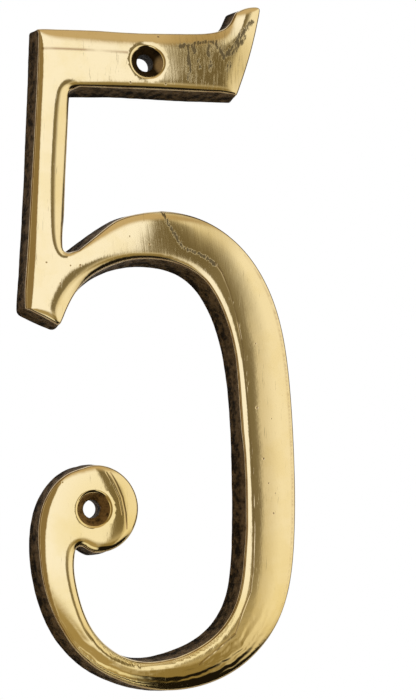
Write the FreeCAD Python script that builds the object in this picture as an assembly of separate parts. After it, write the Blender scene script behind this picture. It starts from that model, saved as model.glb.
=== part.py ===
import FreeCAD, Part
import math
import os

# Door numeral "5": one brass casting with drafted side walls, a flat back, a
# polished face that swells along the strokes, and two countersunk screw holes.
#
# Frame: origin on the upper screw hole's axis in the back plane, +X to the
# reader's right, +Z up the door, and the face looks along -Y. Millimetres.

# Section of the casting
wall_height = 4.5          # back plane to the break between side wall and face
wall_draft = 3.2           # degrees that the side walls lean in towards the face
face_rise = 2.1            # swell of the face above that break on a wide stroke
face_softness = 2.4        # distance from the edge in which most of the swell happens

# Top bar, its flag and the stem
bar_underside = -7.4
bar_depth = 14.35
bar_left = -24.9
bar_right = 21.2
flag_height = 7.0          # flag tip above the bar's top edge
flag_reach = 7.2           # flag tip to the right of the bar's lower right corner
stem_width_top = 7.4
stem_width_foot = 8.6
stem_lean = 5.8            # the stem's foot stands this far left of its head
stem_waist = 0.3           # how far each side of the stem bows inwards
foot_drop = 21.9           # bowl's top down to the stem's lower left corner
foot_slant = 4.0           # the foot's right corner lies this much lower than its left
notch_drop = 9.2           # bowl's top down to the notch where it leaves the stem

# Bowl: the box of its outer edge, and the widths of its stroke
bowl_left = -30.1
bowl_width = 60.2
bowl_top = -32.75
bowl_height = 103.4
arch_stroke = 11.95
side_stroke = 13.7
base_stroke = 8.05
curl_stroke = 8.9

# Disc that ends the curl, measured from the bowl's lower left, and its screw
disc_inset = 13.8
disc_rise = 39.3
disc_radius = 9.65
disc_join = 105.0          # bearing on the disc, in degrees, where the curl runs into it
disc_leave = 262.0         # bearing, in degrees, where its rim turns in towards the curl
disc_cusp = 240.0          # bearing, in degrees, of the nick between disc and curl
screw_inset = 0.8          # lower screw to the left of the disc's centre
screw_rise = 0.35          # lower screw above the disc's centre

# Screw holes
bore_radius = 1.95
bore_length = 4.0          # straight part of each hole, up from the back
countersink_angle = 90.0
overshoot = 1.0            # how far the drills run past the back

# Corner roundings of the side walls
small_corner = 0.5
corner = 0.9
foot_corner = 1.6

# Spacing of the poles of the face's surface and of the steps along the outline,
# and the most spans of a curve that one side wall takes
pole_spacing = 2.2
outline_step = 2.2
wall_spans = 5

bar_top = bar_underside + bar_depth
bowl_bottom = bowl_top - bowl_height
disc_x = bowl_left + disc_inset
disc_z = bowl_bottom + disc_rise
bowl_box = (bowl_left, bowl_bottom, bowl_width, bowl_height)
counter_box = (bowl_left + curl_stroke, bowl_bottom + base_stroke,
               bowl_width - curl_stroke - side_stroke, bowl_height - base_stroke - arch_stroke)
bar_box = (bar_left, bar_top, bar_right - bar_left, flag_height)
flag_box = (bar_right, bar_top, flag_reach, flag_height)


def in_box(box, *shares):
    """Places given as shares of a box's width and height from its lower left corner."""
    left, bottom, width, height = box
    return [(left + across * width, bottom + up * height) for across, up in shares]


def around_disc(bearing, reach=1.0):
    """Place at a bearing from the disc's centre, at reach times its radius."""
    turn = math.radians(bearing)
    return (disc_x + reach * disc_radius * math.cos(turn), disc_z + reach * disc_radius * math.sin(turn))


def halfway(first, second, shift):
    """Middle of two places, moved sideways by shift."""
    return (0.5 * (first[0] + second[0]) + shift, 0.5 * (first[1] + second[1]))


def outline_stretches():
    """The back outline in (x, z), clockwise seen from the front.

    Each stretch has its kind, the rounding of its first corner, its pulls and its
    points, and shares its ends with its neighbours. The pulls are spread evenly
    along it: the face falls steeply to an edge with a low pull and gently to one
    with a high pull, so they place the crest of the swell across a stroke.
    """
    head = (bar_left, bar_top)
    crook = (bar_left + stem_width_top, bar_underside)
    foot_left = (bar_left - stem_lean, bowl_top - foot_drop)
    foot_tip = (foot_left[0] + stem_width_foot, foot_left[1] - foot_slant)
    share = (crook[1] - bowl_top + notch_drop) / (crook[1] - foot_tip[1])
    notch = (crook[0] + share * (foot_tip[0] - crook[0]), bowl_top - notch_drop)
    heel = (bar_right, bar_underside)
    nape, flag_crest, flag_tip = in_box(flag_box, (0.014, 0.84), (0.44, 1.0), (1.0, 0.986))
    flag_side = halfway(heel, flag_tip, 0.09 * flag_reach)
    join = around_disc(disc_join, 1.03)
    leave = around_disc(disc_leave, 0.99)
    cusp = around_disc(disc_cusp, 0.9)
    top_edge = in_box(bar_box, (0.28, 0.0), (0.54, -0.014), (0.735, 0.036), (0.878, 0.107), (0.95, 0.293),
                      (0.983, 0.614))
    outer_edge = in_box(bowl_box, (0.289, 0.962), (0.379, 0.989), (0.508, 1.0), (0.699, 0.979),
                        (0.854, 0.911), (0.957, 0.798), (0.998, 0.63), (1.0, 0.495), (0.982, 0.301),
                        (0.895, 0.122), (0.709, 0.027), (0.467, 0.0), (0.294, 0.022), (0.154, 0.071),
                        (0.058, 0.144), (0.01, 0.23))
    curl_back = [around_disc(204.4, 1.57), around_disc(166.7, 1.235), around_disc(134.4, 1.11)]
    curl_front = [around_disc(244.8, 1.22), around_disc(254.1, 1.74)]
    inner_edge = in_box(counter_box, (0.096, 0.071), (0.303, 0.0), (0.511, 0.0), (0.745, 0.037),
                        (0.88, 0.097), (0.968, 0.235), (1.0, 0.457), (0.995, 0.715), (0.923, 0.866),
                        (0.766, 0.968), (0.529, 1.0), (0.239, 0.977), (0.104, 0.933), (0.028, 0.8825))
    return [
        ("curve", corner, (1, 1), [head, *top_edge, nape]),
        ("arc", corner, (1, 1), [nape, flag_crest, flag_tip]),
        ("arc", corner, (1, 1.5, 3), [flag_tip, flag_side, heel]),
        ("line", corner, (5, 7, 7, 3), [heel, crook]),
        ("arc", small_corner, (1.5, 1, 1.5), [crook, halfway(crook, notch, -stem_waist), notch]),
        ("curve", small_corner, (2.5, 5, 7, 7, 6, 3, 2, 1.5, 1.5), [notch, *outer_edge, *curl_back, join]),
        ("arc", 0.0, (1.5, 1, 1, 2), [join, around_disc(0.5 * (disc_join + disc_leave) - 180.0), leave]),
        ("arc", 0.0, (2, 2), [leave, around_disc(0.5 * (disc_leave + disc_cusp), 0.945), cusp]),
        ("curve", small_corner, (1.5, 1, 0.6, 0.3, 0.3, 1, 6, 2), [cusp, *curl_front, *inner_edge, foot_tip]),
        ("line", foot_corner, (2, 1.5), [foot_tip, foot_left]),
        ("arc", foot_corner, (1, 1), [foot_left, halfway(foot_left, head, stem_waist), head]),
    ]


def stretch_curve(kind, points, y):
    """Curve of one stretch in the plane at depth y."""
    places = [FreeCAD.Vector(x, y, z) for x, z in points]
    if kind == "line":
        return Part.LineSegment(places[0], places[1])
    if kind == "arc":
        return Part.Arc(places[0], places[1], places[2])
    curve = Part.BSplineCurve()
    curve.interpolate(places)
    return curve


def inward_normals(kind, points):
    """Unit normals into the metal at the points of one stretch."""
    curve = stretch_curve(kind, points, 0.0)
    normals = []
    for x, z in points:
        along = curve.tangent(curve.parameter(FreeCAD.Vector(x, 0.0, z)))[0]
        if kind == "line":
            along = curve.EndPoint - curve.StartPoint
        along.normalize()
        normals.append((along.z, -along.x))
    return normals


def inset_stretches(inset, y):
    """Edges of each stretch of the outline, moved into the metal by inset, in the plane at depth y."""
    stretches = outline_stretches()
    normals = [inward_normals(kind, points) for kind, radius, pulls, points in stretches]
    runs = []
    for index, (kind, radius, pulls, points) in enumerate(stretches):
        own = list(normals[index])
        before = normals[index - 1][-1]
        after = normals[(index + 1) % len(stretches)][0]
        own[0] = mitre(before, own[0])
        own[-1] = mitre(own[-1], after)
        moved = [(x + inset * nx, z + inset * nz) for (x, z), (nx, nz) in zip(points, own)]
        runs.append(stretch_edges(kind, moved, y))
    return runs


def inset_outline(inset, y):
    """The moved outline as one closed wire."""
    return Part.Wire([edge for run in inset_stretches(inset, y) for edge in run])


def stretch_edges(kind, points, y):
    """Edges of one stretch: a long curve is cut at its points, so that no wall gets too long."""
    curve = stretch_curve(kind, points, y)
    if kind != "curve":
        return [curve.toShape()]
    knots = curve.getKnots()
    edges = []
    for first in range(0, len(knots) - 1, wall_spans):
        run = curve.copy()
        run.segment(knots[first], knots[min(first + wall_spans, len(knots) - 1)])
        edges.append(run.toShape())
    return edges


def mitre(first, second):
    """Shift of a corner between two stretches for an inset of one."""
    share = 1.0 + first[0] * second[0] + first[1] * second[1]
    return ((first[0] + second[0]) / share, (first[1] + second[1]) / share)


def drafted_walls():
    """The outline raised from the back with its draft and its rounded corners."""
    reach = wall_height + 2.0 * face_rise
    inset = reach * math.tan(math.radians(wall_draft))
    body = Part.makeLoft([inset_outline(0.0, 0.0), inset_outline(inset, -reach)], True, True)
    for kind, radius, pulls, points in outline_stretches():
        if radius > 0.0:
            place = FreeCAD.Vector(points[0][0], 0.0, points[0][1])
            body = body.makeFillet(radius, [upright_edge(body, place)])
    return body


def upright_edge(body, place):
    """The edge that rises from a corner of the back outline."""
    risers = [edge for edge in body.Edges if abs(edge.Vertexes[0].Y - edge.Vertexes[-1].Y) > wall_height]
    return min(risers, key=lambda edge: edge.distToShape(Part.Vertex(place))[0])


def break_line():
    """Points along the break between wall and face, as a closed polygon, and the pull at each."""
    inset = wall_height * math.tan(math.radians(wall_draft))
    polygon = []
    strengths = []
    for (kind, radius, pulls, points), run in zip(outline_stretches(), inset_stretches(inset, 0.0)):
        places = []
        for edge in run:
            count = max(2, int(round(edge.Length / outline_step)) + 1)
            places += edge.discretize(Number=count)[:-1]
        polygon += [(place.x, place.z) for place in places]
        strengths += [between(pulls, step / len(places)) for step in range(len(places))]
    return polygon, strengths


def between(values, share):
    """Value at a share of the way along evenly spaced values."""
    at = share * (len(values) - 1)
    first = int(at)
    return values[first] + (at - first) * (values[first + 1] - values[first])


def smooth_distance(x, z, sides):
    """Distance from the break line, negative outside it.

    Every side of the polygon takes part through its pull times the integral of
    1/r^3, so the value has no crease along a stroke or at an inner corner.
    """
    total = 0.0
    crossings = 0
    for x0, z0, ux, uz, length, pull in sides:
        dx = x - x0
        dz = z - z0
        along = dx * ux + dz * uz
        across = dx * uz - dz * ux
        square = across * across + 1e-6
        rest = length - along
        spread = rest / math.sqrt(square + rest * rest) + along / math.sqrt(square + along * along)
        total += pull * spread / square
        z1 = z0 + uz * length
        if (z0 > z) != (z1 > z) and x < x0 + (z - z0) * ux / uz:
            crossings += 1
    distance = math.sqrt(2.0 / total)
    return distance if crossings % 2 else -distance


def face_height(distance):
    """Height of the face over the back plane at a distance from the break line."""
    if distance < 0.0:
        return wall_height + max(-face_rise, distance * face_rise / face_softness)
    return wall_height + face_rise * (1.0 - math.exp(-distance / face_softness))


def swollen_block():
    """Everything behind the swollen face, as a block larger than the numeral."""
    polygon, strengths = break_line()
    sides = []
    for (x0, z0), (x1, z1), pull in zip(polygon, polygon[1:] + polygon[:1], strengths):
        length = math.hypot(x1 - x0, z1 - z0)
        sides.append((x0, z0, (x1 - x0) / length, (z1 - z0) / length, length, pull))
    margin = 3.0 * pole_spacing
    west = min(x for x, z in polygon) - margin
    south = min(z for x, z in polygon) - margin
    columns = int((max(x for x, z in polygon) + margin - west) / pole_spacing) + 1
    rows = int((max(z for x, z in polygon) + margin - south) / pole_spacing) + 1
    poles = []
    for i in range(columns):
        x = west + i * pole_spacing
        heights = [face_height(smooth_distance(x, south + j * pole_spacing, sides)) for j in range(rows)]
        poles.append([FreeCAD.Vector(x, -h, south + j * pole_spacing) for j, h in enumerate(heights)])
    surface = Part.BSplineSurface()
    surface.buildFromPolesMultsKnots(poles, cubic_multiplicities(columns), cubic_multiplicities(rows),
                                     list(range(columns - 2)), list(range(rows - 2)), False, False, 3, 3)
    return surface.toShape().extrude(FreeCAD.Vector(0.0, wall_height + 3.0 * face_rise, 0.0))


def cubic_multiplicities(poles):
    """Knot multiplicities of a clamped cubic with this many poles."""
    return [4] + [1] * (poles - 4) + [4]


def screw_hole(x, z):
    """Bore with a countersink that opens at the face."""
    reach = wall_height + 2.0 * face_rise
    slope = math.tan(math.radians(countersink_angle / 2.0))
    mouth = bore_radius + (reach - bore_length) * slope
    outwards = FreeCAD.Vector(0.0, -1.0, 0.0)
    bore = Part.makeCylinder(bore_radius, reach + overshoot, FreeCAD.Vector(x, overshoot, z), outwards)
    start = FreeCAD.Vector(x, -bore_length, z)
    sink = Part.makeCone(bore_radius, mouth, reach - bore_length, start, outwards)
    return bore.fuse(sink)


def number_five():
    """The whole numeral as one solid."""
    body = drafted_walls().common(swollen_block())
    body = body.cut(screw_hole(0.0, 0.0))
    body = body.cut(screw_hole(disc_x - screw_inset, disc_z + screw_rise))
    return body.Solids[0]


os.makedirs("parts", exist_ok=True)
number_five().exportStep("parts/number_five.step")
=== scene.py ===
import math

import bmesh
import bpy
import numpy as np
from mathutils import Matrix, Vector, noise
from mathutils.geometry import delaunay_2d_cdt


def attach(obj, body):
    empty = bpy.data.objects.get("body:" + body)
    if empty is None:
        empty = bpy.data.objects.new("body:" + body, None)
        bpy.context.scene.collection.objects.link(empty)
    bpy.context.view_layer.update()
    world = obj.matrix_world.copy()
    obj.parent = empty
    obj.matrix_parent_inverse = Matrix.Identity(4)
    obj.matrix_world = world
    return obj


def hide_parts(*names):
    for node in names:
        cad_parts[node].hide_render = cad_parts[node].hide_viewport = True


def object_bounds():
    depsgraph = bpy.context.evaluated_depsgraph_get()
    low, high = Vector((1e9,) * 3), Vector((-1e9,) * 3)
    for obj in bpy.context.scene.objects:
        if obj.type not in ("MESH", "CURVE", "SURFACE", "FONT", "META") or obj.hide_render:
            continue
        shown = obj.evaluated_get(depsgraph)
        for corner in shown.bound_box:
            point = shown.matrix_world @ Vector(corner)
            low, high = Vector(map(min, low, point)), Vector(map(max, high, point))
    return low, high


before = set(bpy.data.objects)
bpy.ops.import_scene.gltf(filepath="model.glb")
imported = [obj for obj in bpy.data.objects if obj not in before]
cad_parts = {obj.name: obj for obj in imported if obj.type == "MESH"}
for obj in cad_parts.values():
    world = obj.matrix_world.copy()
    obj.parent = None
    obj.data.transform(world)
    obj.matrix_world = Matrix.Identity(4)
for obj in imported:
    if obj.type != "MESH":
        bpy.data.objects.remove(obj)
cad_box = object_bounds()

# A cast brass door numeral "5". The frame gives its outline, its thickness and
# its screw holes; the polished face, the rough sides and the finish are made here.
# Shapes are worked out in millimetres and turned into metres when a mesh is made.
MM = 0.001

# Section of the casting. The crest stays behind the front of the CAD box by
# face_clearance, which leaves room for the hills of the hand polish.
wall_height = 4.5
wall_draft = math.radians(3.2)
face_softness = 2.4
face_clearance = 0.17
shoulder_round = 0.42
shoulder_drop = 0.34

# Steps of the mesh, and its rows of faces
outline_step = 0.25
side_step = 0.5
face_step = 0.5
wall_rows = 10
shoulder_rows = 7
curve_cuts = 16
twist_reach = 12
edge_gap, hole_gap = 0.6, 0.3
sharp_angle = math.radians(50.0)

# Places nearer than this count as one: in mm while filling, in metres in the mesh
fill_weld, mesh_weld = 1e-7, 1e-9

# Pull of the edge on the swell of the face, at places (x, z) round the outline:
# the face falls steeply to an edge with a low number and gently to one with a high number
edge_pulls = (
    ((-24.1, 6.7), 0.9), ((-10.0, 6.9), 1.2), ((17.0, 7.6), 1.2), ((20.8, 11.5), 0.9),
    ((21.5, 12.6), 1), ((27.5, 13.8), 1), ((28.0, 13.4), 1), ((25.2, 3.4), 1.2),
    ((21.4, -6.3), 1.0), ((20.7, -7.1), 0.6), ((8.3, -7.1), 0.45), ((-4.4, -7.1), 0.35),
    ((-11.0, -7.1), 0.3), ((-15.5, -7.1), 0.3), ((-17.2, -7.1), 0.35), ((-17.8, -7.7), 0.4),
    ((-18.3, -14.0), 0.7), ((-19.6, -24.6), 0.7), ((-20.6, -36.0), 0.4), ((-20.8, -41.5), 0.07),
    ((-18.1, -40.6), 0.12), ((-10.0, -35.2), 0.8), ((2.0, -33.3), 0.5), ((9.0, -34.5), 0.8),
    ((16.0, -38.0), 3), ((26.3, -50.9), 7), ((29.9, -79.1), 7), ((28.4, -107.7), 6),
    ((15.0, -131.8), 3), ((-12.7, -133.5), 1.5), ((-29.4, -111.7), 0.9), ((-22.5, -88.7), 0.9),
    ((-18.5, -87.4), 1.2), ((-9.0, -90.7), 0.8), ((-7.0, -97.0), 0.7), ((-8.4, -102.0), 0.15),
    ((-13.0, -106.0), 0.05), ((-16.7, -106.1), 0.1), ((-17.6, -106.1), 0.1), ((-20.2, -104.4), 0.1),
    ((-21.4, -106.3), 0.1), ((-20.0, -117.0), 0.08), ((-14.8, -125.7), 0.12), ((7.3, -125.0), 0.2),
    ((15.9, -103.7), 0.11), ((16.9, -80.2), 0.045), ((14.5, -59.0), 0.06), ((8.0, -48.0), 0.15),
    ((-3.9, -44.4), 0.17), ((-13.0, -47.0), 0.35), ((-20.9, -55.4), 0.9), ((-22.6, -58.3), 0.4),
    ((-29.6, -55.2), 0.15), ((-30.3, -53.6), 0.5), ((-28.6, -38.0), 0.7), ((-27.0, -20.0), 0.8),
    ((-24.8, 5.2), 0.8),
)

# How far the side wall leans in beyond its draft, at places round the outline, in mm
wall_leans = (
    ((-24.9, 6.9), 0.45), ((-10.0, 6.9), 0.0), ((18.0, 8.0), 0.1), ((20.9, 9.5), 0.5),
    ((22.0, 13.3), 0.6), ((27.0, 14.1), 0.0), ((21.3, -6.5), 0.2), ((20.5, -7.4), 0.65),
    ((17.0, -7.4), 1.0), ((5.6, -7.3), 0.92), ((-8.0, -7.2), 0.82), ((-15.5, -7.4), 1.0),
    ((-17.6, -8.5), -0.1), ((-18.4, -20.0), -0.2), ((-20.0, -33.0), -0.15), ((-21.0, -41.5), 0.1),
    ((-18.3, -40.5), 1.1), ((-13.8, -37.4), 0.83), ((-9.0, -34.6), 0.33), ((-3.7, -33.0), 0.3),
    ((1.9, -32.8), -0.12), ((26.3, -50.9), -0.12), ((29.9, -79.1), -0.12), ((28.4, -107.7), -0.08),
    ((15.0, -131.8), 0.0), ((1.9, -136.1), 0.2), ((-3.6, -136.0), 0.3), ((-9.1, -135.0), 0.5),
    ((-14.2, -133.1), 0.75), ((-19.0, -130.3), 0.88), ((-23.1, -126.5), 1.0), ((-26.2, -122.0), 1.2),
    ((-28.4, -116.8), 1.04), ((-29.7, -111.5), 0.9), ((-30.2, -106.0), 0.85), ((-29.8, -100.4), 0.52),
    ((-28.4, -95.1), 0.3), ((-25.3, -90.5), 0.25), ((-20.5, -87.6), 0.4), ((-15.0, -87.0), 0.1),
    ((-6.7, -96.0), 0.0), ((-14.0, -106.2), 0.4), ((-19.5, -105.0), 0.5), ((-21.4, -106.3), 0.1),
    ((-14.8, -125.7), 0.0), ((-11.2, -127.6), 0.1), ((-5.9, -128.5), 0.5), ((-0.5, -127.8), 0.8),
    ((4.7, -126.2), 0.7), ((12.5, -119.0), 0.8), ((15.2, -108.5), 0.9), ((15.7, -103.0), 1.08),
    ((16.3, -92.0), 1.05), ((16.5, -86.5), 0.88), ((16.6, -81.0), 0.5), ((16.6, -75.5), 0.43),
    ((16.3, -70.1), 0.6), ((15.7, -64.6), 0.87), ((12.8, -54.1), 1.1), ((9.9, -49.5), 1.2),
    ((5.7, -46.3), 0.95), ((-5.0, -44.7), 0.9), ((-10.3, -45.8), 0.62), ((-15.1, -48.3), 0.6),
    ((-21.0, -56.0), 0.3), ((-22.3, -58.1), 0.4), ((-26.5, -56.7), 0.8), ((-29.5, -55.5), 0.9),
    ((-30.5, -53.2), 0.57), ((-30.2, -50.0), 0.4), ((-28.0, -28.0), 0.5), ((-26.2, -9.4), 0.72),
    ((-25.4, 1.5), 0.83), ((-25.0, 5.0), 0.8),
)

# Unevenness in mm: cast walls and polished face as (size of a bump, depth, seed), and the
# broad hills and hollows of the face as (centre (x, z), radius, height)
wall_bumps = ((7.0, 0.16, 1), (1.4, 0.07, 2))
polish_waves = ((9.0, 0.018, 3), (3.2, 0.006, 4))
polish_hills = (((-6.0, -39.0), 12.0, 0.24), ((12.0, -42.0), 9.0, -0.08), ((-20.0, -48.0), 7.0, 0.05),
                ((6.0, 0.0), 10.0, 0.14))
polish_fade = 1.5
seed_offset = (17.3, 5.1, -9.7)

# Screw holes: 90 degree countersinks with a rolled lip
countersink_slope = 1.0
countersink_level = 4.0
lip_round = 0.32
lip_shares = (0.1, 0.3, 0.5, 0.75, 1.0)
lip_dip, lip_curl = 0.2, 0.85
cone_shares = (0.25, 0.5, 0.75, 1.0)
bore_levels = (3.0, 2.0, 1.0, 0.0)
hole_segments = 96

# Marks in place of the distance from the edge on the holes' surfaces
lip_mark, cone_mark, bore_mark = 5.0, -1.0, -3.0


# Reading the frame

def back_loops(node):
    """Edges of the node's flat back as closed loops in (x, z), the longest first."""
    mesh = node.data
    places = np.zeros(len(mesh.vertices) * 3)
    mesh.vertices.foreach_get("co", places)
    places = places.reshape(-1, 3) / MM
    keys = {}
    merged = [keys.setdefault(tuple(np.round(p[[0, 2]], 3)), len(keys)) if abs(p[1]) < 1e-3 else -1
              for p in places]
    points = np.array(sorted(keys, key=keys.get))
    uses = {}
    for face in mesh.polygons:
        corners = [merged[v] for v in face.vertices]
        if min(corners) >= 0 and len(set(corners)) == len(corners):
            for a, b in zip(corners, corners[1:] + corners[:1]):
                uses.setdefault(frozenset((a, b)), []).append((a, b))
    onward = {pairs[0][0]: pairs[0][1] for pairs in uses.values() if len(pairs) == 1}
    loops = []
    while onward:
        start, here = onward.popitem()
        chain = [start, here]
        while here in onward:
            here = onward.pop(here)
            chain.append(here)
        loops.append(points[chain[:-1]])
    return sorted(loops, key=loop_length, reverse=True)


def loop_length(loop):
    """Length of a closed loop."""
    return np.hypot(*(np.roll(loop, -1, 0) - loop).T).sum()


def even_loop(loop, step):
    """The loop again as a smooth curve with points at even steps, anticlockwise seen from the front."""
    if signed_area(loop) < 0.0:
        loop = loop[::-1]
    ahead = np.roll(loop, -1, 0)
    chord = np.hypot(*(ahead - loop).T)
    slope = (ahead - loop) / chord[:, None]
    behind_chord = np.roll(chord, 1)
    weight = (behind_chord / (behind_chord + chord))[:, None]
    tangent = (1.0 - weight) * np.roll(slope, 1, 0) + weight * slope
    next_tangent = np.roll(tangent, -1, 0)
    fine = []
    for t in np.arange(curve_cuts) / curve_cuts:
        fine.append((2 * t**3 - 3 * t**2 + 1) * loop + (t**3 - 2 * t**2 + t) * chord[:, None] * tangent
                    + (3 * t**2 - 2 * t**3) * ahead + (t**3 - t**2) * chord[:, None] * next_tangent)
    curve = np.stack(fine, 1).reshape(-1, 2)
    run = np.r_[0.0, np.cumsum(np.hypot(*(np.roll(curve, -1, 0) - curve).T))]
    closed = np.vstack([curve, curve[:1]])
    stops = np.linspace(0.0, run[-1], int(round(run[-1] / step)) + 1)[:-1]
    return np.c_[np.interp(stops, run, closed[:, 0]), np.interp(stops, run, closed[:, 1])]


def signed_area(loop):
    """Area within the loop, below zero where it runs clockwise."""
    ahead = np.roll(loop, -1, 0)
    return 0.5 * np.sum(loop[:, 0] * ahead[:, 1] - ahead[:, 0] * loop[:, 1])


def outward_normals(loop):
    """Directions out of the loop at its points, evened a little with their neighbours'."""
    along = np.roll(loop, -1, 0) - np.roll(loop, 1, 0)
    along = 0.25 * np.roll(along, 1, 0) + 0.5 * along + 0.25 * np.roll(along, -1, 0)
    along /= np.linalg.norm(along, axis=1)[:, None]
    return np.c_[along[:, 1], -along[:, 0]]


def untangled(loop):
    """The loop without the small twists that an offset makes in a sharp corner."""
    loop = loop.copy()
    count = len(loop)
    for i in range(count):
        first = loop[(i + 1) % count] - loop[i]
        for j in range(i + 2, i + twist_reach):
            second = loop[(j + 1) % count] - loop[j % count]
            apart = loop[j % count] - loop[i]
            spread = first[0] * second[1] - first[1] * second[0]
            if abs(spread) < 1e-12:
                continue
            along = (apart[0] * second[1] - apart[1] * second[0]) / spread
            across = (apart[0] * first[1] - apart[1] * first[0]) / spread
            if 0.0 < along < 1.0 and 0.0 < across < 1.0:
                loop[np.arange(i + 1, j + 1) % count] = loop[i] + along * first
                break
    return loop


# The swollen face

def inside(points, loop):
    """Which points lie within the loop."""
    odd = np.zeros(len(points), bool)
    for (x0, z0), (x1, z1) in zip(loop, np.roll(loop, -1, 0)):
        if z0 != z1:
            between = (points[:, 1] < z0) != (points[:, 1] < z1)
            odd ^= between & (points[:, 0] < x0 + (points[:, 1] - z0) * (x1 - x0) / (z1 - z0))
    return odd


def along_outline(loop, known):
    """A value at every point of the loop, blended between the places where it is known."""
    run = np.r_[0.0, np.cumsum(np.hypot(*(np.roll(loop, -1, 0) - loop).T))]
    stops = sorted((run[np.hypot(*(loop - place).T).argmin()], value) for place, value in known)
    at, values = np.array(stops).T
    return np.interp(run[:-1], at, values, period=run[-1])


def smooth_distance(points, loop):
    """Distance from the loop without creases: each side counts through the integral of 1/r^3."""
    total = np.zeros(len(points))
    for (x0, z0), (x1, z1), pull in zip(loop, np.roll(loop, -1, 0), along_outline(loop, edge_pulls)):
        length = math.hypot(x1 - x0, z1 - z0)
        ux, uz = (x1 - x0) / length, (z1 - z0) / length
        dx, dz = points[:, 0] - x0, points[:, 1] - z0
        along = dx * ux + dz * uz
        square = (dx * uz - dz * ux) ** 2 + 1e-6
        rest = length - along
        total += pull * (rest / np.sqrt(square + rest**2) + along / np.sqrt(square + along**2)) / square
    return np.sqrt(2.0 / total)


def crown(distance, rise):
    """Height of the face over the back at a smooth distance from the break line."""
    return wall_height + rise * (1.0 - np.exp(-distance / face_softness))


def waver(places, scale, seed):
    """Smooth noise about -1 to 1 at places in mm; scale is the size of a bump."""
    offset = Vector([seed * part for part in seed_offset])
    return np.array([noise.noise(Vector(p) / scale + offset) for p in places])


# Building one mesh from rings and filled areas

class Skin:
    """Collects vertices in mm with their distance from the edge, and faces."""

    def __init__(self):
        self.places = []
        self.rims = []
        self.faces = []
        self.surfaces = []
        self.count = 0

    def add(self, places, rims):
        """Takes in vertices and gives their numbers."""
        self.places.append(np.asarray(places, float))
        self.rims.append(np.broadcast_to(np.asarray(rims, float), len(places)))
        self.count += len(places)
        return np.arange(self.count - len(places), self.count)

    def band(self, first, second, surface):
        """Quads between two rings of as many points; first is the lower or outer one."""
        for a, b, c, d in zip(first, np.roll(first, -1), np.roll(second, -1), second):
            self.faces.append((a, b, c, d))
            self.surfaces.append(surface)

    def triangles(self, corners, surface):
        """Triangles from rows of three vertex numbers."""
        for triangle in corners:
            self.faces.append(tuple(triangle))
            self.surfaces.append(surface)

    def mesh(self, name):
        """The finished mesh in metres, smooth but for its sharp edges."""
        mesh = bpy.data.meshes.new(name)
        places = np.vstack(self.places) * MM
        mesh.from_pydata(places.tolist(), [], [[int(i) for i in f] for f in self.faces])
        mesh.polygons.foreach_set("material_index", self.surfaces)
        rim = mesh.attributes.new("rim", "FLOAT", "POINT")
        rim.data.foreach_set("value", np.concatenate(self.rims).astype(np.float32))
        whole = bmesh.new()
        whole.from_mesh(mesh)
        bmesh.ops.remove_doubles(whole, verts=whole.verts, dist=mesh_weld)
        whole.to_mesh(mesh)
        whole.free()
        mesh.shade_smooth()
        mesh.set_sharp_from_angle(angle=sharp_angle)
        mesh.validate()
        return mesh


def fill(outer, holes, loose):
    """Triangles between an outer loop and its holes, through loose points, as indices into all of them in turn."""
    loops = [outer, *holes]
    points = np.vstack([*loops, loose]) if len(loose) else np.vstack(loops)
    edges = []
    start = 0
    for loop in loops:
        ring = np.arange(start, start + len(loop))
        edges += [(int(a), int(b)) for a, b in zip(ring, np.roll(ring, -1))]
        start += len(loop)
    made = delaunay_2d_cdt([Vector(p) for p in points], edges, [], 0, fill_weld)
    new_places = np.array([tuple(v) for v in made[0]])
    source = np.array([old[0] if old else -1 for old in made[3]])
    corners = np.array([tuple(f) for f in made[2]])
    middle = new_places[corners].mean(1)
    keep = inside(middle, outer)
    for hole in holes:
        keep &= ~inside(middle, hole)
    corners = source[corners[keep]]
    corners = corners[(corners >= 0).all(1)]

    # A sliver that lies outside a loop has an edge that is neither shared nor part of a loop
    pairs = np.sort(np.stack([corners[:, [0, 1]], corners[:, [1, 2]], corners[:, [2, 0]]], 1), 2)
    keys = pairs[..., 0] * len(points) + pairs[..., 1]
    bounds = np.sort(np.array(edges), 1)
    used, where, times = np.unique(keys, return_inverse=True, return_counts=True)
    loose_edge = (times[where].reshape(-1, 3) == 1) & ~np.isin(keys, bounds[:, 0] * len(points) + bounds[:, 1])
    return corners[~loose_edge.any(1)]


def facing(places, corners, towards):
    """The triangles turned so that their fronts look along towards."""
    a, b, c = (places[corners[:, k]] for k in range(3))
    turned = np.cross(b - a, c - a) @ np.asarray(towards, float) < 0.0
    corners = corners.copy()
    corners[turned] = corners[turned][:, ::-1]
    return corners


def face_points(loop, holes):
    """Points of a staggered grid inside the loop, clear of its edge and of the holes."""
    low, high = loop.min(0), loop.max(0)
    rows = np.arange(low[1], high[1], face_step * math.sqrt(0.75))
    grid = np.vstack([np.c_[np.arange(low[0], high[0], face_step) + 0.5 * face_step * (i % 2),
                            np.full(len(np.arange(low[0], high[0], face_step)), z)]
                      for i, z in enumerate(rows)])
    grid = grid[inside(grid, loop)]
    near = np.full(len(grid), np.inf)
    for x, z in loop:
        near = np.minimum(near, (grid[:, 0] - x) ** 2 + (grid[:, 1] - z) ** 2)
    grid = grid[near > (edge_gap * face_step) ** 2]
    for centre, radius in holes:
        grid = grid[np.hypot(*(grid - centre).T) > radius + lip_round + hole_gap * face_step]
    return grid


def hand_polish(points, near):
    """Slight hills and hollows left by polishing, in mm, fading towards the edge."""
    flat = np.c_[points[:, 0], np.zeros(len(points)), points[:, 1]]
    height = sum(depth * waver(flat, size, seed) for size, depth, seed in polish_waves)
    for (x, z), radius, rise in polish_hills:
        height += rise * np.exp(-np.hypot(points[:, 0] - x, points[:, 1] - z) ** 2 / radius**2)
    return height * (1.0 - np.exp(-near / polish_fade))


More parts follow.
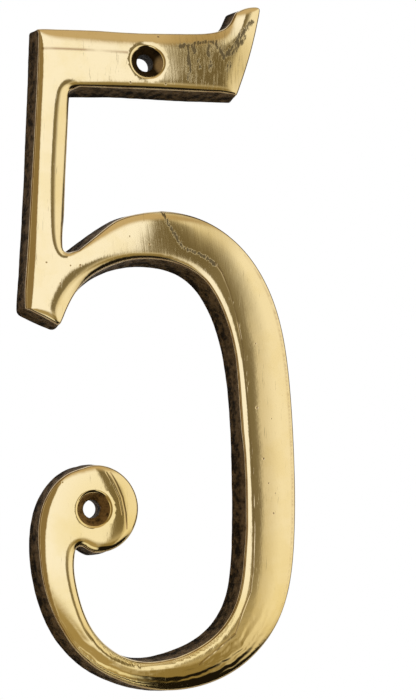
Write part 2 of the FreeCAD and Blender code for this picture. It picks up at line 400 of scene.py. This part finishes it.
def lift(points, heights):
    """Points of the face plane at their heights in front of the back plane."""
    return np.c_[points[:, 0], -np.asarray(heights) * np.ones(len(points)), points[:, 1]]


# Surfaces, numbered in the order of the numeral's materials
polished, side, back, bored = 0, 1, 2, 3


def numeral_mesh(node):
    """The whole numeral: side walls, shoulder, screw holes, face and back."""
    loops = back_loops(node)
    depth = -cad_box[0][1] / MM
    outline = even_loop(loops[0], outline_step)
    outwards = outward_normals(outline)
    break_inset = wall_height * math.tan(wall_draft)
    sides = even_loop(outline - break_inset * outwards, side_step)
    lean = (break_inset + along_outline(outline, wall_leans))[:, None]
    holes = []
    for loop in loops[1:3]:
        centre = 0.5 * (loop.min(0) + loop.max(0))
        holes.append((centre, 0.5 * (loop[:, 0].max() - loop[:, 0].min())))

    # Shoulder, a quarter round that runs into the face, from the top of the wall
    shoulder = []
    for row in range(shoulder_rows + 1):
        angle = 0.5 * math.pi * row / shoulder_rows
        inset = shoulder_round * (1.0 - math.cos(angle))
        shoulder.append((outline - (lean + inset) * outwards, inset,
                         shoulder_drop * (1.0 - math.sin(angle))))
    inner = untangled(shoulder[-1][0])
    shoulder[-1] = (inner, *shoulder[-1][1:])
    mouths = []
    for centre, bore in holes:
        turn = np.linspace(0.0, 2.0 * math.pi, hole_segments, endpoint=False)
        mouths.append((centre, bore, np.c_[np.cos(turn), np.sin(turn)]))
    widest = bore_mouth(holes[0][1], depth)
    grid = face_points(inner, [(centre, widest) for centre, bore in holes])
    first_rims = [centre + widest * around for centre, bore, around in mouths]
    parts = [loop for loop, inset, drop in shoulder] + first_rims + [grid]
    distance = smooth_distance(np.vstack(parts), sides)
    rise = (depth - wall_height - face_clearance) / (1.0 - math.exp(-distance.max() / face_softness))
    distances = np.split(distance, np.cumsum([len(p) for p in parts])[:-1])

    # Radius at which each hole's lip leaves the face, all round
    lips = []
    for (centre, bore, around), first, near in zip(mouths, first_rims, distances[shoulder_rows + 1:]):
        mouth = bore_mouth(bore, crown(near, rise) + hand_polish(first, near))
        lips.append((mouth, centre + (mouth + lip_round)[:, None] * around))
    hole_rims = [rim for mouth, rim in lips]

    # Side walls, from the back edge up to the shoulder
    skin = Skin()
    wall_top = crown(distances[0], rise) + hand_polish(shoulder[0][0], distances[0]) - shoulder_drop
    last = None
    for row in range(wall_rows + 1):
        share = row / wall_rows
        ring = lift(outline - share * lean * outwards, share * wall_top)
        inset = sum(deep * (0.5 + 0.5 * waver(ring, size, seed)) for size, deep, seed in wall_bumps)
        inset *= 1.0 - share**3
        ring[:, 0] -= inset * outwards[:, 0]
        ring[:, 2] -= inset * outwards[:, 1]
        ring = skin.add(ring, (share - 1.0) * wall_top)
        if row:
            skin.band(last, ring, side)
        else:
            back_ring = ring
        last = ring
    for (loop, inset, drop), near in list(zip(shoulder, distances))[1:]:
        ring = skin.add(lift(loop, crown(near, rise) + hand_polish(loop, near) - drop), inset)
        skin.band(last, ring, polished)
        last = ring
    inner_ring = last

    # Screw holes: lip, countersink and bore
    rims, bores = [], []
    for (centre, bore, around), (mouth, rim) in zip(mouths, lips):
        near = smooth_distance(rim, sides)
        level = crown(near, rise) + hand_polish(rim, near)
        rings = [lift(rim, level)]
        for share in lip_shares:
            radius = mouth + lip_round * (1.0 - 2.0 * share)
            height = level - lip_round * (lip_dip * share + lip_curl * share**2)
            rings.append(lift(centre + radius[:, None] * around, height))
        for share in cone_shares:
            wide = radius + share * (bore - radius)
            deep = height + share * (countersink_level - height)
            rings.append(lift(centre + wide[:, None] * around, deep))
        rings += [lift(centre + bore * around, deep) for deep in bore_levels]
        marks = ([lip_mark] * (1 + len(lip_shares)) + [cone_mark] * len(cone_shares)
                 + [bore_mark] * len(bore_levels))
        rings = [skin.add(ring, mark) for ring, mark in zip(rings, marks)]
        for upper, lower, mark in zip(rings, rings[1:], marks[1:]):
            skin.band(upper, lower, polished if mark == lip_mark else bored)
        rims.append(rings[0])
        bores.append(rings[-1])

    # The face itself
    heights = crown(distances[-1], rise) + hand_polish(grid, distances[-1])
    loose = skin.add(lift(grid, heights), distances[-1])
    order = np.concatenate([inner_ring, *rims, loose])
    places = np.vstack(skin.places)
    corners = order[fill(inner, hole_rims, grid)]
    skin.triangles(facing(places, corners, (0, -1, 0)), polished)

    # The flat back
    bore_rims = [centre + bore * around for centre, bore, around in mouths]
    order = np.concatenate([back_ring, *bores])
    corners = order[fill(places[back_ring][:, [0, 2]], bore_rims, np.zeros((0, 2)))]
    skin.triangles(facing(places, corners, (0, 1, 0)), back)
    return skin.mesh("numeral")


def bore_mouth(bore, depth):
    """Radius of the countersink where it comes out of the face."""
    return bore + (depth - countersink_level) * countersink_slope


# Finishes

def wire(tree, kind, settings=(), inputs=()):
    """A node with its settings and its inputs, which are values or other nodes' sockets."""
    node = tree.nodes.new(kind)
    for name, value in dict(settings).items():
        setattr(node, name, value)
    for slot, value in dict(inputs).items():
        if isinstance(value, bpy.types.NodeSocket):
            tree.links.new(value, node.inputs[slot])
        else:
            node.inputs[slot].default_value = value
    return node


def ramp(tree, value, low, high):
    """Soft step of a value from 0 at low to 1 at high."""
    return wire(tree, "ShaderNodeMapRange", {"interpolation_type": "SMOOTHSTEP", "clamp": True},
                {0: value, 1: low, 2: high, 3: 0.0, 4: 1.0}).outputs[0]


def maths(tree, operation, *values):
    """Result of a sum with numbers or sockets."""
    return wire(tree, "ShaderNodeMath", {"operation": operation}, dict(enumerate(values))).outputs[0]


def vectors(tree, operation, *values):
    """Result of a sum with vectors: a number for a length or a dot product, otherwise a vector."""
    node = wire(tree, "ShaderNodeVectorMath", {"operation": operation}, dict(enumerate(values)))
    return node.outputs["Value"] if operation in ("LENGTH", "DOT_PRODUCT") else node.outputs["Vector"]


def blend_colour(tree, share, first, second):
    """The first colour, replaced by the second as far as the share says."""
    return wire(tree, "ShaderNodeMix", {"data_type": "RGBA"}, {0: share, 6: first, 7: second}).outputs[2]


def all_axes(tree, value):
    """A vector with the value in each of its parts."""
    return wire(tree, "ShaderNodeCombineXYZ", (), {0: value, 1: value, 2: value}).outputs[0]


def sum_of(tree, start, *terms):
    """A start value and masks times their amounts, added up."""
    for mask, amount in terms:
        start = maths(tree, "MULTIPLY_ADD", mask, amount, start)
    return start


def speckle(tree, place, size, detail=2.0):
    """Noise between 0 and 1 with grains of about a size in mm."""
    return wire(tree, "ShaderNodeTexNoise", (),
                {"Vector": place, "Scale": 1.0 / size, "Detail": detail, "Roughness": 0.6}).outputs["Fac"]


def effect(name, entries, exits):
    """A shader node group with named sockets, and its inner input sockets."""
    group = bpy.data.node_groups.new(name, "ShaderNodeTree")
    for label, kind, value in entries:
        socket = group.interface.new_socket(name=label, in_out="INPUT", socket_type=kind)
        socket.default_value = value
    for label in exits:
        group.interface.new_socket(name=label, in_out="OUTPUT", socket_type="NodeSocketFloat")
    return group, group.nodes.new("NodeGroupInput").outputs


def finish_effect(group, **results):
    """Joins the results to the group's outputs of the same names."""
    sink = group.nodes.new("NodeGroupOutput")
    for label, socket in results.items():
        group.links.new(socket, sink.inputs[label])
    return group


def use(tree, group, **values):
    """The group placed in a tree, with its inputs named in the call."""
    return wire(tree, "ShaderNodeGroup", {"node_tree": group}, values).outputs


number, vector = "NodeSocketFloat", "NodeSocketVector"
origin = (0.0, 0.0, 0.0)
in_face = (1.0, 0.0, 1.0)

# Share of a patch's reach within which it is at full strength
patch_core = 0.35


def brushing_effect():
    """Fine parallel marks of a brush or file, turned in the plane of the face."""
    group, given = effect("brushing", (("Place", vector, origin), ("Turn", number, 0.0),
                                       ("Width", number, 0.3), ("Length", number, 6.0)), ("Marks",))
    turned = wire(group, "ShaderNodeVectorRotate", {"rotation_type": "Y_AXIS"},
                  {"Vector": given["Place"], "Angle": given["Turn"]}).outputs[0]
    size = wire(group, "ShaderNodeCombineXYZ", (), {0: given["Width"], 1: given["Length"], 2: given["Length"]})
    scaled = vectors(group, "DIVIDE", turned, size.outputs[0])
    return finish_effect(group, Marks=speckle(group, scaled, 1.0, 3.0))


def patch_effect():
    """A soft oval patch of the face about a centre."""
    group, given = effect("patch", (("Place", vector, origin), ("Centre", vector, origin),
                                    ("Reach", vector, (1.0, 1.0, 1.0))), ("Mask",))
    away = vectors(group, "MULTIPLY", vectors(group, "SUBTRACT", given["Place"], given["Centre"]), in_face)
    far = vectors(group, "LENGTH", vectors(group, "DIVIDE", away, given["Reach"]))
    return finish_effect(group, Mask=ramp(group, far, 1.0, patch_core))


def stroke_effect():
    """A straight mark in the face from a start to an end."""
    group, given = effect("stroke", (("Place", vector, origin), ("Start", vector, origin),
                                     ("End", vector, (1.0, 0.0, 0.0)), ("Width", number, 0.3)), ("Mask",))
    along = vectors(group, "MULTIPLY", vectors(group, "SUBTRACT", given["End"], given["Start"]), in_face)
    away = vectors(group, "MULTIPLY", vectors(group, "SUBTRACT", given["Place"], given["Start"]), in_face)
    share = maths(group, "DIVIDE", vectors(group, "DOT_PRODUCT", away, along),
                  vectors(group, "DOT_PRODUCT", along, along))
    share = maths(group, "MINIMUM", maths(group, "MAXIMUM", share, 0.0), 1.0)
    nearest = vectors(group, "MULTIPLY", along, all_axes(group, share))
    far = vectors(group, "LENGTH", vectors(group, "SUBTRACT", away, nearest))
    return finish_effect(group, Mask=ramp(group, far, given["Width"], 0.0))


def pitting_effect():
    """Small scattered pits, in part of the cells only."""
    group, given = effect("pitting", (("Place", vector, origin), ("Spacing", number, 3.0),
                                      ("Radius", number, 0.2), ("Share", number, 0.3)), ("Mask",))
    scaled = vectors(group, "DIVIDE", given["Place"], all_axes(group, given["Spacing"]))
    cells = wire(group, "ShaderNodeTexVoronoi", (), {"Vector": scaled, "Scale": 1.0}).outputs
    far = maths(group, "MULTIPLY", cells["Distance"], given["Spacing"])
    red = wire(group, "ShaderNodeSeparateColor", (), {0: cells["Color"]}).outputs[0]
    there = maths(group, "LESS_THAN", red, given["Share"])
    return finish_effect(group, Mask=maths(group, "MULTIPLY", there, ramp(group, far, given["Radius"], 0.0)))


def object_place(tree):
    """Place on the numeral in mm."""
    place = wire(tree, "ShaderNodeTexCoord").outputs["Object"]
    return vectors(tree, "MULTIPLY", place, (1.0 / MM,) * 3)


def spot(x, z):
    """A place on the face as a vector."""
    return (x, 0.0, z)


def marks(tree, effects, place, turn, width, length):
    """Brush marks turned by so many degrees."""
    return use(tree, effects["brushing"], Place=place, Turn=math.radians(turn), Width=width, Length=length)["Marks"]


def patch(tree, effects, place, centre, reach):
    """Mask of an oval area about a centre (x, z), with its half width and half height."""
    return use(tree, effects["patch"], Place=place, Centre=spot(*centre), Reach=(reach[0], 1.0, reach[1]))["Mask"]


def highest(tree, masks):
    """The highest of several masks at each place."""
    result = masks[0]
    for mask in masks[1:]:
        result = maths(tree, "MAXIMUM", result, mask)
    return result


def trail(tree, effects, place, points, width):
    """Strokes from point to point."""
    return highest(tree, [use(tree, effects["stroke"], Place=place, Start=spot(*a), End=spot(*b), Width=width)["Mask"]
                          for a, b in zip(points, points[1:])])


# Marks on the face, at places (x, z) in mm
bar_crease = ((-23.4, 1.9), (-13.0, 1.9), (-4.6, 1.7))
bowl_crease = ((13.2, -44.4), (14.7, -46.6), (16.2, -50.6), (17.5, -56.1), (18.5, -62.8), (18.9, -71.6),
               (19.2, -81.4), (19.2, -92.3), (18.8, -103.1), (18.0, -111.7),
               (17.1, -116.3), (15.2, -120.1), (13.1, -124.8), (8.8, -127.8), (4.5, -130.7))
disc_crease = ((-13.0, -89.0), (-11.9, -91.4), (-10.8, -94.4), (-10.3, -97.6), (-10.2, -101.0))
disc_second_crease = ((-13.9, -89.0), (-12.7, -91.6), (-11.5, -94.6), (-11.0, -98.0))
arch_scuff = ((1.9, -33.4), (3.0, -36.5), (4.6, -39.6), (6.0, -41.2), (8.8, -42.3), (11.6, -43.6), (13.2, -44.9))
flag_scuffs = (
    ((15.9, 5.1), (16.5, 4.1), (17.4, 2.6), (18.3, 1.3)),
    ((18.3, 1.5), (19.8, 3.6), (21.2, 5.3), (23.0, 7.4), (25.5, 10.2)), ((19.8, 2.5), (21.6, 4.4), (23.5, 6.6)),
    ((9.6, 3.4), (9.3, 1.1), (9.7, -1.3), (9.4, -3.9)), ((10.8, 3.7), (11.0, 2.3)), ((14.7, 4.3), (14.2, 2.0)),
    ((11.8, 0.6), (12.0, -0.8)), ((14.6, 0.2), (14.1, -1.6)), ((19.0, 0.4), (18.7, -1.4)),
    ((7.6, 3.6), (10.2, 4.0), (13.9, 5.0), (16.4, 5.1)),
)
face_pits = ((21.1, -76.5, 0.6), (21.7, -62.4, 0.4), (22.0, -87.7, 0.5), (23.7, -99.7, 0.4), (22.9, -93.1, 0.35),
             (-25.0, -44.3, 0.35), (-17.6, -45.0, 0.5), (-1.9, -40.5, 0.45), (-22.2, -48.8, 0.35),
             (-19.8, -45.0, 0.3), (3.0, 5.8, 0.5), (-4.2, -4.9, 0.4), (3.9, -5.0, 0.4))

# Areas of the face: centre (x, z), then half width and half height of an oval, in mm
foot_area = (-24.0, -50.0), (6.0, 9.0)
arch_area = (3.0, -39.0), (26.0, 13.0)
arch_top_area = (8.0, -40.0), (14.0, 9.0)
flag_area = (15.0, 1.0), (14.0, 11.0)
disc_area = (-15.0, -99.0), (13.0, 16.0)
# The last area is the upper hole's right side, where a painted reflection lightens the countersink
upper_hole_reflection_area = (3.0, -0.8), (1.3, 2.7)

# Brush marks: turn in degrees from upright, width and length in mm
upright_marks = (4.0, 0.32, 14.0)
level_marks = (92.0, 0.25, 4.0)
ragged_marks = (-12.0, 0.34, 1.3)
fine_marks = (-5.0, 0.3, 4.0)
cast_streaks = (85.0, 0.5, 2.5)

# Creases: line, width in mm and strength; each is a shallow groove whose darkening is painted shade
crease_lines = ((bar_crease, 0.5, 1.0), (bowl_crease, 0.36, 0.8), (disc_crease, 0.36, 0.9),
                (disc_second_crease, 0.3, 0.7))

# Limits between which a mask goes from none to full: heights in mm, distances from the edge in mm
base_heights = (-104.0, -124.0)
bottom_heights = (-117.0, -128.0)
# Painted shade of the upper hole, from none at the first height to full at the second
upper_hole_shade_heights = (-60.0, -40.0)
bottom_edge_reach = (5.0, 3.0)
worn_edge_reach = (0.5, 0.08)
browning_reach = (-3.6, -0.2)

# The same for noise and brush marks, between 0 and 1
flag_scuff_limits = (0.68, 0.82)
flag_line_limits = (0.64, 0.80)
arch_scuff_limits = (0.68, 0.80)
scuff_fade = (0.0, 0.3)
crease_gaps = (0.2, 0.6)
wear_limits = (0.4, 0.62)
cloud_limits = (0.42, 0.68)
rubbed_and_glint_limits = (0.62, 1.02)

# Scattered pits: spacing and radius in mm, and the share of the cells that have one
face_pitting = {"Spacing": 3.4, "Radius": 0.24, "Share": 0.22}
cast_pitting = {"Spacing": 1.1, "Radius": 0.35, "Share": 0.5}

# Widths of the scuffs in mm
flag_scuff_width, arch_scuff_width = 1.2, 0.9

# Depths of the relief in mm, below zero into the metal
brush_relief, level_relief, line_relief, grain_relief = 0.005, 0.006, 0.014, 0.006
crease_relief, scuff_relief, pit_relief = -0.02, -0.012, -0.05
cast_mottle_relief, cast_grain_relief = 0.12, 0.06

# Colours of the metal and of the dirt on it; along the creases and in the upper hole some are painted shade, and one
# is a painted reflection in that hole
pale_brass = (0.92, 0.78, 0.48, 1.0)
golden_brass = (0.84, 0.66, 0.28, 1.0)
matt_brass = (0.50, 0.365, 0.13, 1.0)
wear_and_crease_shade_brown = (0.34, 0.20, 0.09, 1.0)
scuff_dirt = (0.10, 0.075, 0.04, 1.0)
pit_dirt = (0.006, 0.004, 0.003, 1.0)
upper_hole_shade_colour = (0.004, 0.003, 0.002, 1.0)
upper_hole_reflection_brass = (0.50, 0.34, 0.16, 1.0)

# Surfaces as cast: name, darkest and lightest colour, roughness, metallic, specular level,
# and whether painted shade darkens the upper hole, with a painted reflection on its right side
cast_finishes = (
    ("cast_side", (0.012, 0.008, 0.004, 1.0), (0.15, 0.096, 0.042, 1.0), 0.75, 0.0, 0.03, False),
    ("cast_back", (0.16, 0.10, 0.045, 1.0), (0.42, 0.29, 0.13, 1.0), 0.62, 0.6, 0.3, False),
    ("countersink", (0.02, 0.011, 0.004, 1.0), (0.26, 0.15, 0.05, 1.0), 0.6, 0.0, 0.03, True),
)


def start_material(name):
    """A new material with its tree, its shader, the place in mm, the height and the distance from the edge."""
    material = bpy.data.materials.new(name)
    material.use_nodes = True
    tree = material.node_tree
    place = object_place(tree)
    height = wire(tree, "ShaderNodeSeparateXYZ", (), {0: place}).outputs[2]
    rim = wire(tree, "ShaderNodeAttribute", {"attribute_name": "rim"}).outputs["Fac"]
    return material, tree, tree.nodes["Principled BSDF"], place, height, rim


def cover(tree, shader, colour, roughness, relief):
    """Gives the shader its colour, its roughness and its relief in mm."""
    bump = wire(tree, "ShaderNodeBump", (), {"Strength": 1.0, "Distance": MM, "Height": relief})
    tree.links.new(colour, shader.inputs["Base Color"])
    tree.links.new(roughness, shader.inputs["Roughness"])
    tree.links.new(bump.outputs["Normal"], shader.inputs["Normal"])


def brass_material(effects):
    """Polished brass, brushed, scuffed and a little tarnished."""
    material, tree, shader, place, height, rim = start_material("polished_brass")

    # Brush marks: upright over most of the face, level at the foot, along the edge at the bottom
    upright = marks(tree, effects, place, *upright_marks)
    level = marks(tree, effects, place, *level_marks)
    at_foot = patch(tree, effects, place, *foot_area)
    at_arch = patch(tree, effects, place, *arch_area)
    at_arch_top = patch(tree, effects, place, *arch_top_area)
    at_flag = patch(tree, effects, place, *flag_area)
    at_disc = patch(tree, effects, place, *disc_area)
    at_base = ramp(tree, height, *base_heights)
    brushed = maths(tree, "MULTIPLY_ADD", highest(tree, [at_arch, at_flag]), 0.6, 0.4)
    brushed = maths(tree, "MULTIPLY", upright, brushed)
    by_bottom_edge = maths(tree, "MULTIPLY", ramp(tree, height, *bottom_heights),
                           ramp(tree, rim, *bottom_edge_reach))
    waves = maths(tree, "MULTIPLY_ADD", speckle(tree, place, 5.0), 9.0, maths(tree, "MULTIPLY", rim, 7.5))
    edge_lines = maths(tree, "MULTIPLY", maths(tree, "SINE", waves), by_bottom_edge)

    # Scuffs: dark and ragged, with upright teeth
    ragged = marks(tree, effects, place, *ragged_marks)
    fine = marks(tree, effects, place, *fine_marks)
    flag_zone = highest(tree, [trail(tree, effects, place, points, flag_scuff_width) for points in flag_scuffs])
    flag_marks = ramp(tree, maths(tree, "MULTIPLY_ADD", flag_zone, 0.32, ragged), *flag_scuff_limits)
    flag_marks = maths(tree, "MULTIPLY", flag_marks, ramp(tree, flag_zone, *scuff_fade))
    flag_lines = ramp(tree, maths(tree, "MULTIPLY_ADD", at_flag, 0.12, fine), *flag_line_limits)
    arch_zone = trail(tree, effects, place, arch_scuff, arch_scuff_width)
    arch_marks = ramp(tree, maths(tree, "MULTIPLY_ADD", arch_zone, 0.34, ragged), *arch_scuff_limits)
    arch_marks = maths(tree, "MULTIPLY", arch_marks, ramp(tree, arch_zone, *scuff_fade))
    scuffs = highest(tree, [flag_marks, arch_marks, maths(tree, "MULTIPLY", flag_lines, 0.35)])

    # Creases, whose darkening is painted shade over a shallow groove, pits, the worn edge and clouds of tarnish
    crease_grooves_and_shade = highest(tree, [maths(tree, "MULTIPLY", trail(tree, effects, place, points, width), strength)
                             for points, width, strength in crease_lines])
    crease_grooves_and_shade = maths(tree, "MULTIPLY", crease_grooves_and_shade, ramp(tree, speckle(tree, place, 8.0), *crease_gaps))
    pits = highest(tree, [patch(tree, effects, place, (x, z), (0.7 * size, 0.6 * size)) for x, z, size in face_pits])
    scattered = use(tree, effects["pitting"], Place=place, **face_pitting)["Mask"]
    pits = maths(tree, "MAXIMUM", pits, maths(tree, "MULTIPLY", scattered, 0.7))
    patchy = ramp(tree, speckle(tree, place, 2.4, 3.0), *wear_limits)
    edge = maths(tree, "MULTIPLY", ramp(tree, rim, *worn_edge_reach),
                 maths(tree, "MULTIPLY_ADD", patchy, 0.4, 0.6))
    cloud = ramp(tree, speckle(tree, place, 8.0, 4.0), *cloud_limits)

    golden = maths(tree, "MULTIPLY", cloud, 0.3)
    golden = maths(tree, "MULTIPLY_ADD", highest(tree, [at_base, at_disc]), 0.6, golden)
    colour = blend_colour(tree, golden, pale_brass, golden_brass)
    matt = maths(tree, "MULTIPLY", highest(tree, [at_flag, maths(tree, "MULTIPLY", at_arch_top, 0.8)]),
                 maths(tree, "MULTIPLY_ADD", upright, 0.6, 0.3))
    colour = blend_colour(tree, matt, colour, matt_brass)
    # Brown for the worn edge and the pits, and painted shade along the creases
    wear_and_crease_shade = maths(tree, "MULTIPLY", highest(tree, [edge, pits, crease_grooves_and_shade]), 0.75)
    colour = blend_colour(tree, wear_and_crease_shade, colour, wear_and_crease_shade_brown)
    colour = blend_colour(tree, maths(tree, "MULTIPLY", scuffs, 0.85), colour, scuff_dirt)

    roughness = sum_of(tree, 0.03, (brushed, 0.12), (cloud, 0.04), (scuffs, 0.25))
    relief = sum_of(tree, 0.0, (brushed, brush_relief), (maths(tree, "MULTIPLY", level, at_foot), level_relief),
                    (edge_lines, line_relief), (crease_grooves_and_shade, crease_relief), (scuffs, scuff_relief),
                    (pits, pit_relief), (speckle(tree, place, 1.6, 2.0), grain_relief))
    cover(tree, shader, colour, roughness, relief)
    shader.inputs["Metallic"].default_value = 1.0
    return material


def cast_material(effects, name, dark, light, roughness, metallic, specular, shades_upper_hole):
    """Brass as cast, browned and grainy; the browning is thinner towards the face. The light spots of its mottle are
    partly painted glints.
    """
    material, tree, shader, place, height, rim = start_material(name)
    mottle = speckle(tree, place, 1.7, 4.0)
    grain = speckle(tree, place, 0.45, 2.0)
    streaks = marks(tree, effects, place, *cast_streaks)
    pits = use(tree, effects["pitting"], Place=place, **cast_pitting)["Mask"]
    # Lighter mottle: rubbed patches and cast grain, partly painted glints
    rubbed_and_glints = maths(tree, "MULTIPLY_ADD", ramp(tree, rim, *browning_reach), 0.17, mottle)
    rubbed_and_glints = maths(tree, "MULTIPLY_ADD", maths(tree, "ADD", grain, streaks), 0.25, rubbed_and_glints)
    rubbed_and_glints = ramp(tree, rubbed_and_glints, *rubbed_and_glint_limits)
    colour = blend_colour(tree, rubbed_and_glints, dark, light)
    colour = blend_colour(tree, maths(tree, "MULTIPLY", pits, 0.6), colour, pit_dirt)
    # Upper hole: painted shade darkens its countersink, and a painted reflection lightens a patch on its right
    if shades_upper_hole:
        upper_hole_shade_share = maths(tree, "MULTIPLY", ramp(tree, height, *upper_hole_shade_heights), 0.85)
        colour = blend_colour(tree, upper_hole_shade_share, colour, upper_hole_shade_colour)
        upper_hole_reflection = maths(tree, "MULTIPLY", patch(tree, effects, place, *upper_hole_reflection_area), 0.8)
        colour = blend_colour(tree, upper_hole_reflection, colour, upper_hole_reflection_brass)
    relief = sum_of(tree, 0.0, (mottle, cast_mottle_relief), (grain, cast_grain_relief), (pits, pit_relief))
    cover(tree, shader, colour, maths(tree, "MULTIPLY_ADD", rubbed_and_glints, -0.25, roughness), relief)
    shader.inputs["Metallic"].default_value = metallic
    shader.inputs["Specular IOR Level"].default_value = specular
    return material


effects = {"brushing": brushing_effect(), "patch": patch_effect(), "stroke": stroke_effect(),
           "pitting": pitting_effect()}
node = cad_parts["number_five"]
numeral = bpy.data.objects.new("numeral_five", numeral_mesh(node))
bpy.context.scene.collection.objects.link(numeral)
numeral.data.materials.append(brass_material(effects))
for finish in cast_finishes:
    numeral.data.materials.append(cast_material(effects, *finish))
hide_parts("number_five")
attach(numeral, "root")

# Stage: a pale floor, the studio's front half and a white world

# Cards on the studio's walls: azimuth (right of the face's own direction) and
# elevation in degrees, soft edges, slant of the sides and colour
tan_wall = (0.66, 0.58, 0.42)
studio_cards = (
    (-190, -18, -90, 90, 2, 8, 0.0, (0.27, 0.195, 0.088)),
    (-67, -57, -30, 45, 2, 10, 0.0, (0.80, 0.72, 0.52)),
    (-17, 8, -24, 52, 1.6, 8, 0.0, (1.06, 1.06, 1.10)),
    (-6, 19.2, -20, 50, 1.2, 6, 0.1, (1.06, 1.06, 1.10)),
    (19.2, 30, -8, 62, 1.2, 6, 0.1, (0.21, 0.17, 0.095)),
    (21, 58, 8, 28, 2, 4, 0.0, (0.22, 0.178, 0.10)),
    (34, 80, -20, 40, 7, 8, 0.0, (0.98, 0.92, 0.78)),
    (84, 130, -90, 90, 4, 5, 0.0, (0.12, 0.10, 0.07)),
    (-30, 60, 40, 78, 8, 8, 0.0, (0.60, 0.47, 0.29)),
    (-190, 190, 76, 95, 8, 6, 0.0, (0.14, 0.09, 0.04)),
    (-17, 14, -31, -12, 3, 4, 0.0, (0.42, 0.33, 0.17)),
    (14, 31, -33, -12, 4, 4, 0.0, (0.30, 0.23, 0.10)),
    (-24, 55, -45, -33, 6, 3, 0.0, (0.95, 0.93, 0.82)),
    (-190, 190, -95, -48, 8, 4, 0.0, (0.03, 0.022, 0.015)),
    (13, 80, -95, -26, 5, 3, 0.0, (0.012, 0.009, 0.006)),
)
studio_radius = 1.6
studio_centre = (0.0, 0.0, -0.06)
studio_turn, studio_lift = 125.0, 89.0
studio_columns, studio_rows = 48, 24

# Floor: half width, nearest and farthest y, and height, in metres
floor_place = (0.5, -0.04, 0.5, -0.25)
floor_colour = (0.85, 0.85, 0.84, 1.0)


def studio_material():
    """Light of the studio's walls: soft cards on a tan ground."""
    material = bpy.data.materials.new("studio_walls")
    material.use_nodes = True
    tree = material.node_tree
    tree.nodes.clear()
    place = wire(tree, "ShaderNodeNewGeometry").outputs["Position"]
    away = vectors(tree, "NORMALIZE", vectors(tree, "SUBTRACT", place, studio_centre))
    parts = wire(tree, "ShaderNodeSeparateXYZ", (), {0: away}).outputs
    front = maths(tree, "MULTIPLY", parts[1], -1.0)
    azimuth = maths(tree, "DEGREES", maths(tree, "ARCTAN2", parts[0], front))
    elevation = maths(tree, "DEGREES", maths(tree, "ARCSINE", parts[2]))
    colour = (*tan_wall, 1.0)
    for left, right, low, high, side_soft, top_soft, slant, paint in studio_cards:
        along = maths(tree, "SUBTRACT", azimuth, maths(tree, "MULTIPLY", elevation, slant)) if slant else azimuth
        edges = (ramp(tree, along, left - side_soft, left + side_soft),
                 ramp(tree, along, right + side_soft, right - side_soft),
                 ramp(tree, elevation, low - top_soft, low + top_soft),
                 ramp(tree, elevation, high + top_soft, high - top_soft))
        mask = maths(tree, "MULTIPLY", maths(tree, "MULTIPLY", edges[0], edges[1]),
                     maths(tree, "MULTIPLY", edges[2], edges[3]))
        colour = blend_colour(tree, mask, colour, (*paint, 1.0))
    glow = wire(tree, "ShaderNodeEmission", (), {"Color": colour, "Strength": 1.0})
    wire(tree, "ShaderNodeOutputMaterial", (), {"Surface": glow.outputs[0]})
    return material


def studio_walls():
    """The front half of a large sphere round the numeral, unseen by the camera."""
    columns, rows = studio_columns, studio_rows
    places, faces = [], []
    for i in range(columns + 1):
        turn = math.radians(studio_turn * (2.0 * i / columns - 1.0))
        for j in range(rows + 1):
            lift_angle = math.radians(studio_lift * (2.0 * j / rows - 1.0))
            away = Vector((math.cos(lift_angle) * math.sin(turn), -math.cos(lift_angle) * math.cos(turn),
                           math.sin(lift_angle)))
            places.append(Vector(studio_centre) + studio_radius * away)
    for i in range(columns):
        for j in range(rows):
            corner = i * (rows + 1) + j
            faces.append((corner, corner + rows + 1, corner + rows + 2, corner + 1))
    mesh = bpy.data.meshes.new("studio_walls")
    mesh.from_pydata(places, [], faces)
    mesh.materials.append(studio_material())
    walls = bpy.data.objects.new("studio_walls", mesh)
    bpy.context.scene.collection.objects.link(walls)
    walls.visible_camera = False


def pale_floor():
    """A pale floor under and behind the numeral."""
    half, front, far, level = floor_place
    mesh = bpy.data.meshes.new("floor")
    mesh.from_pydata([(-half, front, level), (half, front, level), (half, far, level), (-half, far, level)],
                     [], [(0, 1, 2, 3)])
    material = bpy.data.materials.new("floor")
    material.use_nodes = True
    shader = material.node_tree.nodes["Principled BSDF"]
    shader.inputs["Base Color"].default_value = floor_colour
    shader.inputs["Roughness"].default_value = 0.7
    mesh.materials.append(material)
    floor = bpy.data.objects.new("floor", mesh)
    bpy.context.scene.collection.objects.link(floor)


studio_walls()
pale_floor()
world = bpy.data.worlds.new("studio")
bpy.context.scene.world = world
world.use_nodes = True
world.node_tree.nodes["Background"].inputs["Color"].default_value = (1.0, 1.0, 1.0, 1.0)

# Camera, from the photograph's vanishing point of the direction into the wall
picture_height = 700.0
focal_length = 1700.0
into_wall = (-648.0, 180.0)
camera_roll = math.radians(3.35)
camera_place = (-121.795, -348.982, -94.775)


def make_camera():
    """The photograph's camera, placed and turned by its vanishing point and roll."""
    depth_axis = Vector((into_wall[0], into_wall[1], focal_length)).normalized()
    up_axis = Vector((0.0, -depth_axis.z, depth_axis.y)).normalized()
    side_axis = depth_axis.cross(up_axis)
    turn, lean = math.cos(camera_roll), math.sin(camera_roll)
    x_axis = turn * side_axis + lean * up_axis
    z_axis = turn * up_axis - lean * side_axis
    # Rows: the object's axes in camera terms (right, down, forward)
    axes = Matrix((x_axis, depth_axis, z_axis))
    right, down, forward = (axes.col[k] for k in range(3))
    place = Matrix((right, -down, -forward)).transposed().to_4x4()
    place.translation = Vector(camera_place) * MM
    data = bpy.data.cameras.new("camera")
    data.sensor_fit = "VERTICAL"
    data.sensor_height = 36.0
    data.lens = data.sensor_height * focal_length / picture_height
    data.clip_start = 0.01
    camera = bpy.data.objects.new("camera", data)
    camera.matrix_world = place
    bpy.context.scene.collection.objects.link(camera)
    bpy.context.scene.camera = camera


make_camera()
bpy.context.scene.view_settings.view_transform = "Standard"
